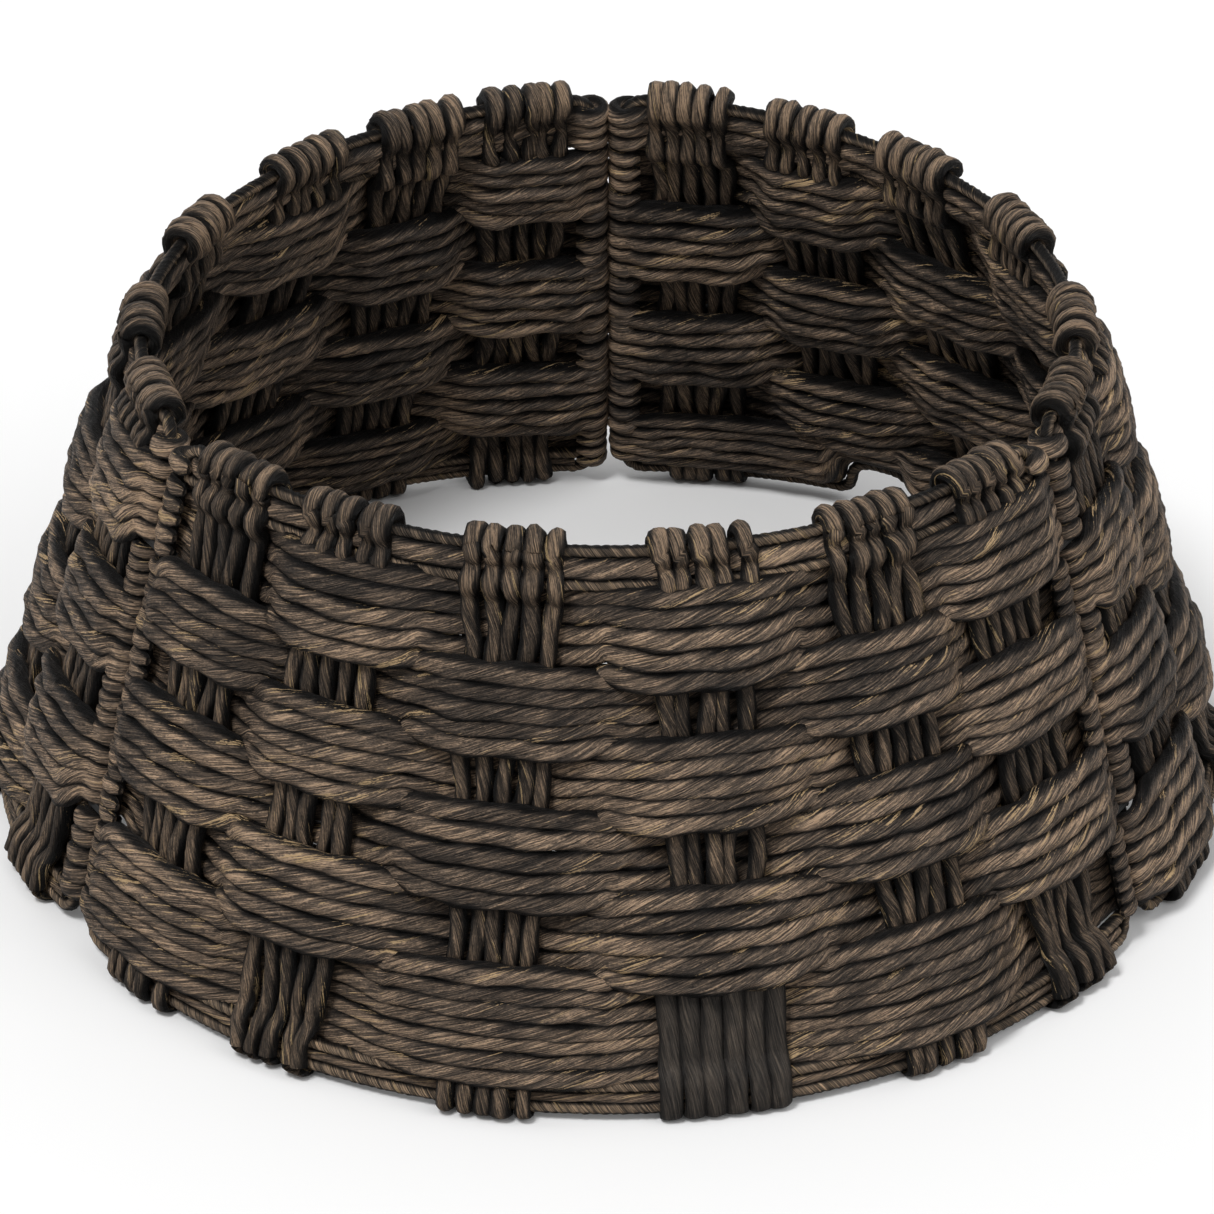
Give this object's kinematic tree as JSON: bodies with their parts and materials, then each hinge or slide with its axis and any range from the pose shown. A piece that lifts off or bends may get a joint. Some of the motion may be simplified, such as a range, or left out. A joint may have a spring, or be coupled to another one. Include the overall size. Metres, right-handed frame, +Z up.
{
  "type": "christmas tree collar",
  "caption": "Flared woven ring that hides the stand of a christmas tree, with side panels that swing open and a notch for a cord.",
  "frame": {"origin": "on the ring's upright axis, at the floor that the collar stands on", "axes": "+Z up the ring's axis, -Y towards the middle of the front panel, +X towards the right panel as seen from the front"},
  "size_m": [0.663, 0.6553, 0.2883],
  "materials": {
    "rail_rope": "dark stained twisted water hyacinth wound tightly round wire, dull sheen",
    "rod_wire": "black painted steel wire, satin",
    "level_rope": "dark brown stained twisted water hyacinth rope with straw coloured fibres, dull sheen",
    "upright_rope": "near black stained twisted water hyacinth rope, dull sheen",
    "tie_cord": "black cord bound round the two wires, smooth",
    "clip_wire": "bare bent steel wire"
  },
  "bodies": {
    "front_panel": {"front_weaver_row_1": "level_rope", "front_weaver_row_2": "level_rope", "front_weaver_row_3": "level_rope", "front_weaver_row_4": "level_rope", "front_weaver_row_5": "level_rope", "front_weaver_row_6": "level_rope", "front_stakes_a": "upright_rope", "front_stakes_b": "upright_rope", "front_stakes_c": "upright_rope", "front_stakes_d": "upright_rope", "front_stakes_e": "upright_rope", "front_stakes_f": "upright_rope", "front_foot_rail": "rail_rope", "front_inner_foot_rail": "rail_rope", "front_inner_top_rail": "rail_rope", "front_top_rail": "rail_rope", "front_left_rod": "rod_wire", "front_right_rod": "rod_wire", "left_hinge_tie_upper": "tie_cord", "left_hinge_tie_lower": "tie_cord", "right_hinge_tie_upper": "tie_cord", "right_hinge_tie_lower": "tie_cord"},
    "left_panel": {"left_weaver_row_1": "level_rope", "left_weaver_row_2": "level_rope", "left_weaver_row_3": "level_rope", "left_weaver_row_4": "level_rope", "left_weaver_row_5": "level_rope", "left_weaver_row_6": "level_rope", "left_stakes_a": "upright_rope", "left_stakes_b": "upright_rope", "left_stakes_c": "upright_rope", "left_stakes_d": "upright_rope", "left_stakes_e": "upright_rope", "left_stakes_f": "upright_rope", "left_foot_rail": "rail_rope", "left_inner_foot_rail": "rail_rope", "left_inner_top_rail": "rail_rope", "left_top_rail": "rail_rope", "left_left_rod": "rod_wire", "left_right_rod": "rod_wire", "back_clip_upper": "clip_wire", "back_clip_lower": "clip_wire"},
    "right_panel": {"right_weaver_row_1": "level_rope", "right_weaver_row_2": "level_rope", "right_weaver_row_3": "level_rope", "right_weaver_row_4": "level_rope", "right_weaver_row_5": "level_rope", "right_weaver_row_6": "level_rope", "right_stakes_a": "upright_rope", "right_stakes_b": "upright_rope", "right_stakes_c": "upright_rope", "right_stakes_d": "upright_rope", "right_stakes_e": "upright_rope", "right_stakes_f": "upright_rope", "right_foot_rail": "rail_rope", "right_inner_foot_rail": "rail_rope", "right_inner_top_rail": "rail_rope", "right_top_rail": "rail_rope", "right_left_rod": "rod_wire", "right_right_rod": "rod_wire"}
  },
  "joints": [
    {"name": "left_panel_hinge", "type": "hinge", "parent": "front_panel", "child": "left_panel", "pos_m": [-0.27866, -0.14934, 0.00712], "axis": [0.2108, 0.1217, 0.9699], "range_deg": [0, 95]},
    {"name": "right_panel_hinge", "type": "hinge", "parent": "front_panel", "child": "right_panel", "pos_m": [0.27866, -0.14934, 0.00712], "axis": [0.2108, -0.1217, -0.9699], "range_deg": [0, 95]}
  ]
}
